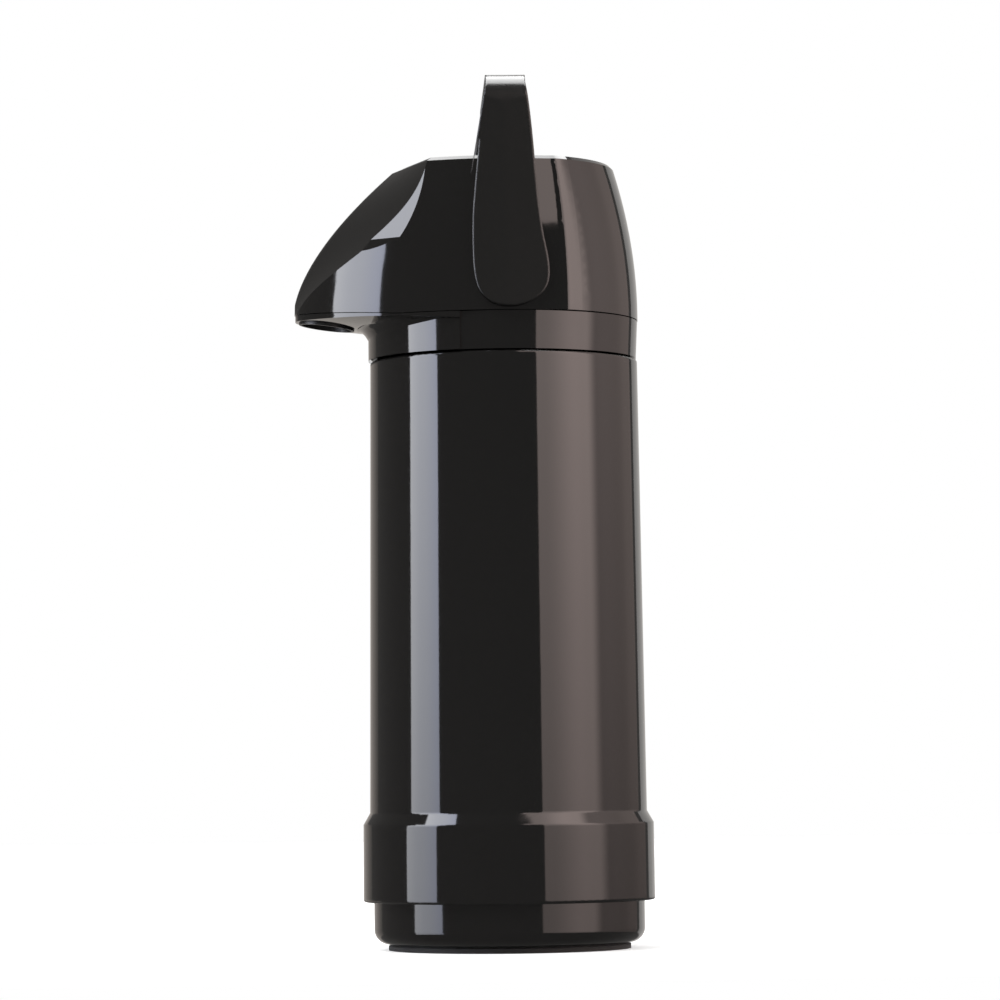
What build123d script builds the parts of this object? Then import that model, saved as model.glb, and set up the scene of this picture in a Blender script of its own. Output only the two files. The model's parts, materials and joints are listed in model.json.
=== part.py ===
from build123d import *
import math
import os

# Airpot: a pump flask with a glass refill, a screwed head, a press button and a bail handle.
# Millimetres. The origin is the middle of the foot, +Z is up and the spout points to -Y.

os.makedirs("parts", exist_ok=True)

# Clearances
slip_gap = 0.15         # each side, between fixed pieces that slip into each other
moving_gap = 0.3        # between pieces that move past each other
pin_play = 0.05         # radial play of a pin in its hole
merge = 0.4             # how far one feature of a piece is sunk into the next

# Casing
ring_radius_low = 65.2
ring_radius_top = 65.0
ring_base = 21.6
ring_top = 56.0
ring_bevel_top = 61.2
casing_radius_low = 62.0
casing_radius_top = 60.1
casing_top = 263.4
casing_wall = 2.2
casing_edge_round = 1.2
ring_edge_round = 1.0
deck_thickness = 2.4

# Neck of the casing, and the thread between neck and head
neck_radius = 45.6
neck_wall = 2.6
neck_height = 12.0
neck_depth = 17.0
lip_thickness = 2.4
lip_radius = 26.0
thread_starts = 3
thread_lead = 21.0
thread_depth = 1.45
thread_ridge_height = 2.2
thread_lug_height = 2.0
thread_ridge_turn = 100.0
thread_lug_turn = 30.0
thread_lug_lag = 5.0
thread_ridge_start = 4.6

# Bottom cap and foot
cap_base = 2.8
cap_setback = 2.5       # the cap's wall stands in from the bore of the step ring
cap_corner_round = 6.5
cap_wall = 2.4
cap_spigot_top = 36.0
cap_floor = 8.0
cap_pedestal_radius = 34.0
cap_pedestal_top = 11.0
cap_recess_radius = 30.0
cap_grip_width = 12.0
foot_setback = 6.3      # the foot stands in from the wall of the cap
foot_width = 8.2
foot_flange = 2.0
foot_rib_setback = 1.4
foot_rib_width = 5.3
foot_rib_height = 2.8
cushion_height = 9.0
cushion_bore = 8.0

# Glass refill
glass_wall = 1.8
refill_radius = 52.0
refill_corner = 22.0
refill_shoulder_base = 212.0
refill_neck_radius = 24.5
refill_neck_top = 262.5
mouth_height = 3.5
mouth_radius = 19.6
mouth_round = 1.2
vacuum_gap = 3.6
vacuum_gap_base = 4.8
inner_corner = 18.6
spacer_count = 3
spacer_base = 80.0
spacer_height = 12.0
spacer_width = 12.0
gasket_radius = 34.0

# Siphon
tube_radius = 4.0
tube_bore = 2.9
tube_foot_clearance = 3.1
seal_thickness = 2.2
seal_radius = 25.5
seal_bore = 17.0
seal_plug_depth = 3.5
plate_radius = 27.0
plate_thickness = 3.0
plate_socket_radius = 6.5
plate_socket_depth = 4.5
plate_air_radius = 1.6
plate_air_circle = 13.0
hub_radius = 9.0
hub_top_margin = 0.6
clip_groove_depth = 0.95
clip_thickness = 1.3
clip_radius = 11.5
clip_gap_width = 9.0

# Collar
collar_seam = 0.6
collar_top = 280.7
collar_radius_low = 59.6
collar_radius_top = 60.4
collar_wall = 2.4
sleeve_wall = 2.4
collar_floor_gap = 2.0
collar_floor_thickness = 2.4
floor_air_radius = 1.6
floor_air_circle = 20.0

# Plan of the head: slack sides that run into a pointed bill, and a rounder rear
head_radius = 60.6
side_bend = 108.0       # radius of the sides' arc
side_reach = 54.0       # how far forward of the axis the sides' arc runs
rear_bend = 66.0        # radius of the rear's arc
rear_corner = 33.5      # where the rear's arc starts, behind the axis
rear_corner_run = 7.5   # length of the soft corner between side and rear
bill_tip = 94.0
bill_fore_width = 27.3
bill_fore_reach = 78.8
bill_nose_share = 0.54  # where the nose bends: its width as a share of the width behind it
bill_nose_run = 0.67    # and how far along it lies from there to the tip
bill_seam_rise = 3.9
bill_seam_ramp = 48.0
bill_under_tip = 282.0
bill_under_slope = 7.5
bill_under_bend = 318.0
bill_floor_thickness = 1.9
fairing_rear = 20.5
fairing_wall_radius = 60.9
fairing_tilt = 9.0
fairing_level = 278.0   # height of the axis that the fairing is tilted about
fairing_profile_low = (59.7, -0.8)
fairing_profile_mid = (61.3, 6.1)
fairing_profile_top = (65.0, 10.2)
head_wall = 2.4

# Hood
head_seam = 0.3
hood_top = 350.5
hood_roof = 2.6
hood_widest = 283.0
hood_rear_bend = 430.0  # the rear leans in by the height squared over this
nose_base = 284.5
nose_reach_low = 94.6
nose_fall = 46.7
nose_power = 1.65
prow_azimuth_mid = 56.5
prow_mid_height = 322.0
prow_spread_low = 0.0133
prow_spread_high = 0.018
nose_round = 9.0
facet_base = 314.8
facet_apex = (47.9, 34.2, 337.6)
facet_azimuth = 37.0
facet_tilt = 16.5
facet_ledge_slope = 60.0
hood_edge_bevel = 1.5
form_heights = (296.0, 308.0, 320.0, 335.0)
post_radius = 3.6
post_top = 312.0
post_circle = 53.0
post_angles = (25.0, 155.0, -25.0, -155.0)
post_web_thickness = 1.6

# Handle and its pivots
pivot_height = 296.0
pivot_rearward = 1.0
pivot_boss_radius = 10.0
pivot_boss_face = 61.0
pivot_inner_boss_radius = 6.5
pivot_inner_face = 52.0
pin_radius = 3.0
pin_head_radius = 5.5
pin_head_thickness = 2.2
washer_radius = 8.5
washer_thickness = 0.4
handle_arm_thickness = 4.2
handle_skin = 1.4
handle_top = 385.6
handle_bar_thickness = 8.0
handle_corner = 15.0
handle_inner_corner = 11.0
handle_crown = 0.9
handle_foot = (1.9, 282.4)
handle_rear_edge = ((9.2, 381.0), (12.3, 354.7), (14.6, 327.0), (16.8, 311.5), (18.9, 298.0),
                    (17.6, 290.5))
handle_front_edge = ((-8.2, 381.0), (-12.0, 354.7), (-14.1, 327.0), (-14.6, 311.5),
                     (-14.1, 298.0), (-12.4, 290.5))

# Button and its guide
button_radius = 33.5
button_wall = 2.0
button_rise = 0.9
button_crown = 3.2
button_edge_round = 1.2
button_flange_radius = 36.6
button_flange_thickness = 2.4
button_post_radius = 2.5
button_post_circle = 24.0
guide_wall = 2.0
guide_depth = 19.5
guide_flange_width = 1.6
guide_flange_thickness = 1.2

# Pump
pump_radius = 44.0
pump_wall = 2.4
pump_ear_radius = 4.0
pump_ear_circle = 47.0
pump_ear_thickness = 2.4
pump_boss_height = 3.6
pump_ear_angles = (60.0, 180.0, 300.0)
pump_air_radius = 1.5
pump_air_circle = 10.0
bellows_peak_radius = 30.0
bellows_valley_radius = 22.0
bellows_wall = 1.0
bellows_folds = 5
bellows_cuff = 1.8
bellows_height = 43.7
bellows_plate_radius = 30.0
bellows_plate_thickness = 2.4
plate_vent_radius = 1.5
plate_vent_circle = 5.0
valve_flap_radius = 8.0
valve_flap_thickness = 0.8
valve_stem_radius = 1.4
spring_radius = 15.0
spring_wire_radius = 0.9
spring_turns = 6

# Valve, outlet and nozzle
cage_base_radius = 13.0
cage_radius = 8.5
cage_top_gap = 0.3
cage_skirt_wall = 1.0
seat_thickness = 1.8
seat_bore = 3.4
chamber_radius = 5.4
cage_cap = 2.0
ball_radius = 4.2
ball_lift_gap = 0.05
outlet_radius = 4.2
outlet_bore = 3.0
socket_wall = 0.75
socket_depth = 7.0
cage_socket_reach = 14.0
nozzle_setback = 2.0    # from the nozzle's rim to the tip of the bill
nozzle_rim_radius = 12.4
nozzle_well_radius = 11.2
nozzle_rim_drop = 0.8
nozzle_flange_radius = 15.0
nozzle_flange_thickness = 1.6
pour_radius = 5.6
pour_bore = 3.9
pour_base = 282.0
pour_rise = 5.6
pour_cap = 1.5
nozzle_socket_reach = 13.6

# Screws
screw_radius = 1.5
screw_head_radius = 3.0
screw_head_height = 2.2
screw_bite = 9.0
screw_slot_width = 0.9
screw_slot_depth = 1.0

# Heights and radii that follow from the driving values
neck_top = casing_top + neck_height
neck_inner = neck_radius - neck_wall
lip_base = casing_top - neck_depth
lip_top = lip_base + lip_thickness
ring_inner_low = ring_radius_low - casing_wall
ring_inner_top = ring_radius_top - casing_wall
cap_radius = ring_inner_low - cap_setback
foot_radius = cap_radius - foot_setback
foot_inner_radius = foot_radius - foot_width
foot_rib_radius = foot_radius - foot_rib_setback
foot_rib_inner_radius = foot_rib_radius - foot_rib_width
spigot_radius = min(ring_inner_low, ring_inner_top) - slip_gap
cushion_top = cap_pedestal_top + cushion_height
mouth_top = refill_neck_top + mouth_height
inner_radius = refill_radius - glass_wall - vacuum_gap
inner_base = cushion_top + glass_wall + vacuum_gap_base
inner_neck_radius = mouth_radius + glass_wall
seal_base = mouth_top + moving_gap
plate_base = seal_base + seal_thickness
plate_top = plate_base + plate_thickness
collar_base = casing_top + collar_seam
floor_base = neck_top + collar_floor_gap
floor_top = floor_base + collar_floor_thickness
sleeve_radius = neck_radius + thread_depth + moving_gap
sleeve_base = casing_top + 3 * moving_gap
clip_base = floor_top + moving_gap
hub_top = clip_base + clip_thickness + hub_top_margin
hood_base = collar_top + head_seam
bill_seam = collar_top + bill_seam_rise
bill_nose_width = bill_nose_share * bill_fore_width
bill_nose_reach = bill_fore_reach + bill_nose_run * (bill_tip - bill_fore_reach)
bill_drop = math.tan(math.radians(bill_under_slope))
nozzle_reach = bill_tip - nozzle_setback - nozzle_rim_radius
guide_bore = button_radius + moving_gap
guide_radius = guide_bore + guide_wall
guide_base = hood_top - guide_depth
button_flange_top = guide_base - moving_gap
button_flange_base = button_flange_top - button_flange_thickness
button_edge_top = hood_top + button_rise
button_top = button_edge_top + button_crown
socket_radius = outlet_radius + slip_gap + socket_wall
outlet_height = bill_seam + slip_gap + socket_radius
pour_top = outlet_height + pour_rise
cage_top = outlet_height + socket_radius + slip_gap
pump_floor_thickness = pump_wall
pump_floor_top = cage_top + cage_top_gap + pump_floor_thickness
bellows_top = pump_floor_top + bellows_height
bellows_plate_base = bellows_top + moving_gap
bellows_plate_top = bellows_plate_base + bellows_plate_thickness
pump_ear_base = floor_top + pump_boss_height
cage_cavity_top = hub_top + 2 * moving_gap
seat_top = cage_cavity_top + seat_thickness
ball_height = seat_top + math.sqrt(ball_radius ** 2 - seat_bore ** 2) + ball_lift_gap
arm_inner = pivot_boss_face + washer_thickness + moving_gap
arm_outer = arm_inner + handle_arm_thickness


def polar(radius, degrees):
    """A point of the plan at a radius and an angle from +X."""
    return (radius * math.cos(math.radians(degrees)), radius * math.sin(math.radians(degrees)))


def rims(piece, radius, height):
    """The round edges of a piece that have this radius and lie at this height."""
    near = 0.01
    round_edges = piece.edges().filter_by(GeomType.CIRCLE)
    return [edge for edge in round_edges
            if abs(edge.radius - radius) < near and abs(edge.center().Z - height) < near]


def turned(points):
    """A solid of revolution about the axis from its half outline in radius and height."""
    with BuildPart() as piece:
        with BuildSketch(Plane.XZ):
            with BuildLine():
                Polyline(*points, close=True)
            make_face()
        revolve(axis=Axis.Z)
    return piece.part


def helical_rib(root, crest, height, base, first_angle, turn):
    """A rib along the thread: it runs from the root radius to the crest radius."""
    rise = thread_lead * turn / 360
    path = Helix(pitch=thread_lead, height=rise, radius=(root + crest) / 2)
    across = Plane(origin=path @ 0, x_dir=(1, 0, 0), z_dir=path % 0)
    with BuildPart() as rib:
        with BuildSketch(across):
            Rectangle(abs(crest - root), height)
        sweep(path=path, is_frenet=True)
    return rib.part.rotate(Axis.Z, first_angle).moved(Location((0, 0, base + height / 2)))


# Body shell: outer casing with its step ring, deck, threaded neck and the lip over the glass
shell_profile = [
    (ring_inner_low, ring_base),
    (ring_radius_low, ring_base),
    (ring_radius_top, ring_top),
    (casing_radius_low, ring_bevel_top),
    (casing_radius_top, casing_top),
    (neck_radius, casing_top),
    (neck_radius, neck_top),
    (neck_inner, neck_top),
    (neck_inner, lip_top),
    (lip_radius, lip_top),
    (lip_radius, lip_base),
    (neck_radius, lip_base),
    (neck_radius, casing_top - deck_thickness),
    (casing_radius_top - casing_wall, casing_top - deck_thickness),
    (casing_radius_low - casing_wall, ring_bevel_top - casing_wall),
    (ring_inner_top, ring_top - casing_wall),
]
with BuildPart() as body_shell:
    add(turned(shell_profile))
    fillet(rims(body_shell, casing_radius_top, casing_top), casing_edge_round)
    fillet(rims(body_shell, ring_radius_low, ring_base), ring_edge_round)
    for start in range(thread_starts):
        add(helical_rib(neck_radius - merge, neck_radius + thread_depth - merge / 2,
                        thread_ridge_height, casing_top + thread_ridge_start - thread_ridge_height / 2,
                        start * 360 / thread_starts, thread_ridge_turn))
body_shell.part.label = "body_shell"
export_step(body_shell.part, "parts/body_shell.step")

# Bottom cap: a cup with a spigot that closes the casing, a pedestal and two finger recesses
groove_inner = foot_rib_inner_radius - slip_gap
groove_outer = foot_rib_radius + slip_gap
groove_top = foot_flange + foot_rib_height + slip_gap
spigot_seat = ring_base + slip_gap
cap_profile = [
    (0, cap_pedestal_top - cap_wall),
    (cap_recess_radius, cap_pedestal_top - cap_wall),
    (cap_recess_radius, cap_base),
    (groove_inner, cap_base),
    (groove_inner, groove_top),
    (groove_outer, groove_top),
    (groove_outer, cap_base),
    (cap_radius, cap_base),
    (cap_radius, spigot_seat),
    (spigot_radius, spigot_seat),
    (spigot_radius, cap_spigot_top),
    (spigot_radius - cap_wall, cap_spigot_top),
    (spigot_radius - cap_wall, spigot_seat + cap_wall),
    (cap_radius - cap_wall, spigot_seat),
    (cap_radius - cap_wall, cap_floor),
    (cap_pedestal_radius, cap_floor),
    (cap_pedestal_radius, cap_pedestal_top),
    (0, cap_pedestal_top),
]
with BuildPart() as bottom_cap:
    add(turned(cap_profile))
    fillet(rims(bottom_cap, cap_radius, cap_base), cap_corner_round)
    with BuildSketch(Plane.XY.offset(cap_base)):
        Rectangle(2 * cap_recess_radius + merge, cap_grip_width)
    extrude(amount=cap_pedestal_top - cap_wall - cap_base)
bottom_cap.part.label = "bottom_cap"
export_step(bottom_cap.part, "parts/bottom_cap.step")

# Foot ring: a thin flange that touches the table and a rib pressed up into the cap
foot_profile = [
    (foot_inner_radius, 0),
    (foot_radius, 0),
    (foot_radius, foot_flange),
    (foot_rib_radius, foot_flange),
    (foot_rib_radius, foot_flange + foot_rib_height),
    (foot_rib_inner_radius, foot_flange + foot_rib_height),
    (foot_rib_inner_radius, foot_flange),
    (foot_inner_radius, foot_flange),
]
with BuildPart() as foot_ring:
    add(turned(foot_profile))
foot_ring.part.label = "foot_ring"
export_step(foot_ring.part, "parts/foot_ring.step")

# Cushion between the cap's pedestal and the flat bottom of the glass
with BuildPart() as base_cushion:
    with BuildSketch(Plane.XY.offset(cap_pedestal_top)):
        Circle(cap_pedestal_radius)
        Circle(cushion_bore, mode=Mode.SUBTRACT)
    extrude(amount=cushion_height)
    cushion_rims = rims(base_cushion, cap_pedestal_radius, cap_pedestal_top)
    chamfer(cushion_rims, glass_wall)
base_cushion.part.label = "base_cushion"
export_step(base_cushion.part, "parts/base_cushion.step")


def glass_wall_outline(radius, corner, base, shoulder_base, neck, top):
    """Half outline of one glass wall: flat bottom, round corner, round shoulder and neck."""
    shoulder = radius - neck
    return dict(radius=radius, corner=corner, base=base, shoulder_base=shoulder_base,
                shoulder=shoulder, neck=neck, top=top)


def glass_solid(wall, closed_at_axis=True):
    """The full body inside a glass outline, turned about the axis."""
    corner_centre = (wall["radius"] - wall["corner"], wall["base"] + wall["corner"])
    with BuildPart() as piece:
        with BuildSketch(Plane.XZ):
            with BuildLine():
                Line((0, wall["base"]), (corner_centre[0], wall["base"]))
                CenterArc(corner_centre, wall["corner"], -90, 90)
                Line((wall["radius"], corner_centre[1]), (wall["radius"], wall["shoulder_base"]))
                CenterArc((wall["neck"], wall["shoulder_base"]), wall["shoulder"], 0, 90)
                Polyline((wall["neck"], wall["shoulder_base"] + wall["shoulder"]),
                         (wall["neck"], wall["top"]), (0, wall["top"]), (0, wall["base"]))
            make_face()
        revolve(axis=Axis.Z)
    return piece.part


# Outer wall of the refill, open at the end of its neck
with BuildPart() as refill_outer_glass:
    add(glass_solid(glass_wall_outline(refill_radius, refill_corner, cushion_top,
                                       refill_shoulder_base, refill_neck_radius, refill_neck_top)))
    add(glass_solid(glass_wall_outline(refill_radius - glass_wall, refill_corner - glass_wall,
                                       cushion_top + glass_wall, refill_shoulder_base,
                                       refill_neck_radius - glass_wall, refill_neck_top)),
        mode=Mode.SUBTRACT)
refill_outer_glass.part.label = "refill_outer_glass"
export_step(refill_outer_glass.part, "parts/refill_outer_glass.step")

# Inner wall of the refill, which turns outwards at the mouth and rests on the outer wall's neck
with BuildPart() as refill_inner_glass:
    add(glass_solid(glass_wall_outline(inner_radius, inner_corner, inner_base,
                                       refill_shoulder_base, inner_neck_radius, refill_neck_top)))
    with BuildSketch(Plane.XY.offset(refill_neck_top)):
        Circle(refill_neck_radius)
    extrude(amount=mouth_height)
    add(glass_solid(glass_wall_outline(inner_radius - glass_wall, inner_corner - glass_wall,
                                       inner_base + glass_wall, refill_shoulder_base,
                                       inner_neck_radius - glass_wall, mouth_top)),
        mode=Mode.SUBTRACT)
    fillet(rims(refill_inner_glass, refill_neck_radius, mouth_top)
           + rims(refill_inner_glass, mouth_radius, mouth_top), mouth_round)
refill_inner_glass.part.label = "refill_inner_glass"
export_step(refill_inner_glass.part, "parts/refill_inner_glass.step")

# Three pads that keep the two glass walls apart
with BuildPart() as refill_spacers:
    with BuildSketch(Plane.XY.offset(spacer_base)):
        Circle(refill_radius - glass_wall - slip_gap)
        Circle(inner_radius + slip_gap, mode=Mode.SUBTRACT)
        with PolarLocations(refill_radius - glass_wall - vacuum_gap / 2, spacer_count):
            Rectangle(2 * vacuum_gap, spacer_width, mode=Mode.INTERSECT)
    extrude(amount=spacer_height)
refill_spacers.part.label = "refill_spacers"
export_step(refill_spacers.part, "parts/refill_spacers.step")

# Gasket between the shoulder of the glass and the lip of the casing
gasket_base = refill_shoulder_base + refill_radius - refill_neck_radius + slip_gap
with BuildPart() as neck_gasket:
    with BuildSketch(Plane.XY.offset(gasket_base)):
        Circle(gasket_radius)
        Circle(refill_neck_radius + moving_gap, mode=Mode.SUBTRACT)
    extrude(amount=lip_base - gasket_base)
neck_gasket.part.label = "neck_gasket"
export_step(neck_gasket.part, "parts/neck_gasket.step")

# Stopper plate: disc over the mouth, a socket for the tube and the hub that the head turns on
tube_hole = tube_radius + slip_gap
tube_top = hub_top - 2 * hub_top_margin
with BuildPart() as stopper_plate:
    with BuildSketch(Plane.XY.offset(plate_base)):
        Circle(plate_radius)
        with PolarLocations(plate_air_circle, 4):
            Circle(plate_air_radius, mode=Mode.SUBTRACT)
    extrude(amount=plate_thickness)
    with BuildSketch(Plane.XY.offset(plate_top)):
        Circle(hub_radius)
    extrude(amount=hub_top - plate_top)
    with BuildSketch(Plane.XY.offset(plate_base - plate_socket_depth)):
        Circle(plate_socket_radius)
    extrude(amount=plate_socket_depth)
    with BuildSketch(Plane.XY.offset(plate_base - plate_socket_depth)):
        Circle(tube_hole)
    extrude(amount=tube_top + slip_gap - plate_base + plate_socket_depth, mode=Mode.SUBTRACT)
    with BuildSketch(Plane.XY.offset(tube_top)):
        Circle(tube_bore)
    extrude(amount=hub_top - tube_top, mode=Mode.SUBTRACT)
    with BuildSketch(Plane.XY.offset(clip_base - slip_gap)):
        Circle(hub_radius + merge)
        Circle(hub_radius - clip_groove_depth, mode=Mode.SUBTRACT)
    extrude(amount=clip_thickness + 2 * slip_gap, mode=Mode.SUBTRACT)
stopper_plate.part.label = "stopper_plate"
export_step(stopper_plate.part, "parts/stopper_plate.step")

# Rubber seal that sits on the mouth, with a short plug that centres it
seal_profile = [
    (seal_bore, seal_base - seal_plug_depth),
    (mouth_radius - moving_gap, seal_base - seal_plug_depth),
    (mouth_radius - moving_gap, seal_base),
    (seal_radius, seal_base),
    (seal_radius, plate_base),
    (seal_bore, plate_base),
]
with BuildPart() as stopper_seal:
    add(turned(seal_profile))
stopper_seal.part.label = "stopper_seal"
export_step(stopper_seal.part, "parts/stopper_seal.step")

# Dip tube from near the bottom of the glass up into the hub
tube_foot = inner_base + glass_wall + tube_foot_clearance
with BuildPart() as dip_tube:
    with BuildSketch(Plane.XY.offset(tube_foot)):
        Circle(tube_radius)
        Circle(tube_bore, mode=Mode.SUBTRACT)
    extrude(amount=tube_top - tube_foot)
dip_tube.part.label = "dip_tube"
export_step(dip_tube.part, "parts/dip_tube.step")

# Open ring in the hub's groove that keeps the head on the hub
with BuildPart() as hub_clip:
    with BuildSketch(Plane.XY.offset(clip_base)):
        Circle(clip_radius)
        Circle(hub_radius - clip_groove_depth + slip_gap, mode=Mode.SUBTRACT)
        with Locations((clip_radius, 0)):
            Rectangle(2 * (clip_radius - hub_radius) + 2 * clip_groove_depth, clip_gap_width,
                      mode=Mode.SUBTRACT)
    extrude(amount=clip_thickness)
hub_clip.part.label = "hub_clip"
export_step(hub_clip.part, "parts/hub_clip.step")



def hood_radius(height):
    """Radius of the round part of the head: it leans in like a parabola towards the top."""
    return head_radius - (height - hood_widest) ** 2 / hood_rear_bend


def bill_plan(height, radius):
    """Plan of the head at a height, scaled so that it is twice the radius wide at the axis."""
    scale = radius / head_radius
    side_centre = head_radius - side_bend
    rear_centre = head_radius - rear_bend

    def side(forward):
        return (side_centre + math.sqrt(side_bend ** 2 - forward ** 2), -forward)

    corner = (math.sqrt(rear_bend ** 2 - (rear_corner - rear_centre) ** 2), rear_corner)
    lean = ((rear_corner - rear_centre) / rear_bend, corner[0] / rear_bend)
    outline = [(0, -bill_tip), (bill_nose_width, -bill_nose_reach),
               (bill_fore_width, -bill_fore_reach), side(side_reach), side(side_reach / 2),
               side(0), side(rear_corner_run - rear_corner), corner]
    right = [(x * scale, y * scale) for x, y in outline]
    with BuildSketch(Plane.XY.offset(height)) as plan:
        with BuildLine():
            Spline(*right, tangents=[(1, 0), (-lean[0], lean[1])])
            RadiusArc(right[-1], (0, radius), -rear_bend * scale)
            Line((0, radius), right[0])
        make_face()
        mirror(about=Plane.YZ)
    return plan.sketch


def prow_plan(height, inset):
    """Plan of the two slanting front faces of the hood, which meet in a rounded nose."""
    spread = prow_spread_low if height < prow_mid_height else prow_spread_high
    azimuth = math.radians(prow_azimuth_mid + spread * (height - prow_mid_height) ** 2)
    rise = max(height - nose_base, 0) / (hood_top - nose_base)
    across = (math.sin(azimuth), math.cos(azimuth))
    radius = nose_round - inset
    reach = nose_reach_low - nose_fall * rise ** nose_power - inset / math.sin(azimuth)
    tangent = (radius * across[1], radius - reach - radius * across[0])
    far = (tangent[0] + 2 * head_radius * across[0], tangent[1] + 2 * head_radius * across[1])
    with BuildSketch(Plane.XY.offset(height)) as plan:
        with BuildLine():
            ThreePointArc((-tangent[0], tangent[1]), (0, -reach), tangent)
            Polyline(tangent, far, (far[0], bill_tip), (-far[0], bill_tip),
                     (-far[0], far[1]), (-tangent[0], tangent[1]))
        make_face()
    return plan.sketch


def hood_form(inset, low, high):
    """The full form of the hood, or of the space inside it when there is an inset."""
    heights = [low, *form_heights, high]
    with BuildPart() as prow:
        loft([prow_plan(height, inset) for height in heights])
    with BuildPart() as form:
        loft([bill_plan(height, hood_radius(height) - inset) for height in heights])
        add(prow.part, mode=Mode.INTERSECT)
        with BuildSketch(Plane.YZ):
            Rectangle(4 * bill_tip, 4 * hood_top)
        extrude(amount=2 * head_radius, mode=Mode.INTERSECT)
        mirror(about=Plane.YZ)
    return form.part


def hood_crown(low):
    """What is left above a height when the top edge of the hood is bevelled."""
    with BuildPart() as round_part:
        loft([bill_plan(low, hood_radius(low)),
              bill_plan(hood_top, hood_radius(low) - hood_edge_bevel)], ruled=True)
    with BuildPart() as prow:
        loft([prow_plan(low, 0), prow_plan(hood_top, hood_edge_bevel)], ruled=True)
    with BuildPart() as crown:
        add(round_part.part)
        add(prow.part, mode=Mode.INTERSECT)
    return crown.part


def facet_block(side, inset):
    """What the soft corner between side and front face takes off the hood above the crease."""
    azimuth = math.radians(facet_azimuth)
    tilt = math.radians(facet_tilt)
    out = (side * math.cos(azimuth) * math.cos(tilt), -math.sin(azimuth) * math.cos(tilt),
           math.sin(tilt))
    slope = math.radians(facet_ledge_slope)
    up = (side * math.cos(azimuth) * math.sin(slope), -math.sin(azimuth) * math.sin(slope),
          math.cos(slope))
    apex = Vector(side * facet_apex[0], -facet_apex[1], facet_apex[2])
    run = (facet_apex[2] - facet_base) * math.tan(tilt)
    foot = Vector(apex.X + side * run * math.cos(azimuth), apex.Y - run * math.sin(azimuth),
                  facet_base)
    with BuildPart() as block:
        with BuildSketch(Plane(origin=apex - inset * Vector(out), z_dir=out)):
            Rectangle(2 * head_radius, 2 * head_radius)
        extrude(amount=head_radius)
        with BuildSketch(Plane(origin=foot - inset * Vector(up), z_dir=up)):
            Rectangle(4 * bill_tip, 4 * bill_tip)
        extrude(amount=2 * head_radius, mode=Mode.INTERSECT)
    return block.part


def side_prism(points):
    """A full-width prism from a closed outline in Y and Z."""
    with BuildPart() as prism:
        with BuildSketch(Plane.YZ):
            with BuildLine():
                Polyline(*points, close=True)
            make_face()
        extrude(amount=2 * head_radius, both=True)
    return prism.part


# Collar: outer wall, floor, threaded sleeve and the underside of the bill
collar_inner_low = collar_radius_low - collar_wall
collar_inner_top = collar_radius_top - collar_wall
collar_profile = [
    (hub_radius + moving_gap, floor_base),
    (sleeve_radius, floor_base),
    (sleeve_radius, sleeve_base),
    (sleeve_radius + sleeve_wall, sleeve_base),
    (sleeve_radius + sleeve_wall, floor_base),
    (collar_inner_top, floor_base),
    (collar_inner_low, collar_base),
    (collar_radius_low, collar_base),
    (collar_radius_top, collar_top),
    (collar_inner_top, collar_top),
    (collar_inner_top, floor_top),
    (hub_radius + moving_gap, floor_top),
]
seam_outline = [
    (-fairing_rear, collar_top),
    (-bill_seam_ramp, collar_top),
    (-bill_tip, bill_seam),
    (-2 * bill_tip, bill_seam),
    (-2 * bill_tip, collar_base),
    (-fairing_rear, collar_base),
]
with BuildPart() as flare:
    with BuildSketch(Plane.XZ):
        with BuildLine():
            Spline(fairing_profile_low, fairing_profile_mid, fairing_profile_top,
                   tangents=[(0, 1), (1, 0.25)])
            Polyline(fairing_profile_top, (fairing_profile_top[0], 2 * fairing_profile_top[1]),
                     (0, 2 * fairing_profile_top[1]), (0, fairing_profile_low[1] * 4),
                     (fairing_profile_low[0], fairing_profile_low[1] * 4), fairing_profile_low)
        make_face()
    revolve(axis=Axis.Z)
bill_line = Plane(origin=(0, -bill_tip, bill_under_tip), x_dir=(1, 0, 0), z_dir=(0, 1, -bill_drop))
with BuildPart() as belly:
    with BuildSketch(bill_line):
        with Locations((0, -bill_under_bend)):
            Circle(bill_under_bend)
    extrude(amount=2 * bill_tip, both=True)
with BuildPart() as bill_lower:
    add(flare.part.rotate(Axis.X, fairing_tilt).moved(Location((0, 0, fairing_level))))
    add(belly.part)
    with BuildSketch(Plane.XY.offset(collar_base)):
        Circle(fairing_wall_radius)
    extrude(amount=collar_top - collar_base)
    add(side_prism(seam_outline), mode=Mode.INTERSECT)
with BuildPart() as bill_outline:
    add(bill_plan(collar_base, collar_radius_top))
    extrude(amount=bill_seam - collar_base)
with BuildPart() as bill_base:
    add(bill_outline.part)
    add(bill_lower.part, mode=Mode.INTERSECT)
with BuildPart() as bill_pocket:
    add(bill_plan(collar_base, collar_radius_top - collar_wall))
    extrude(amount=bill_seam - collar_base + merge)
    with BuildSketch(bill_line):
        with Locations((0, -bill_under_bend)):
            Circle(bill_under_bend - bill_floor_thickness)
    extrude(amount=2 * bill_tip, both=True, mode=Mode.INTERSECT)
    with BuildSketch(Plane.XY.offset(collar_base)):
        with Locations((0, -bill_tip - fairing_rear)):
            Rectangle(2 * bill_tip, 2 * bill_tip)
    extrude(amount=bill_seam, mode=Mode.INTERSECT)
    with BuildSketch(Plane.XY.offset(collar_base)):
        Circle(collar_inner_top - slip_gap)
        with Locations((0, -nozzle_reach)):
            Circle(nozzle_flange_radius + slip_gap)
    extrude(amount=bill_seam, mode=Mode.SUBTRACT)
lug_crest = neck_radius + moving_gap + slip_gap
lug_base = (casing_top + thread_ridge_start - thread_ridge_height / 2 - moving_gap
            - thread_lug_height + thread_lead * thread_lug_lag / 360)
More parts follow.
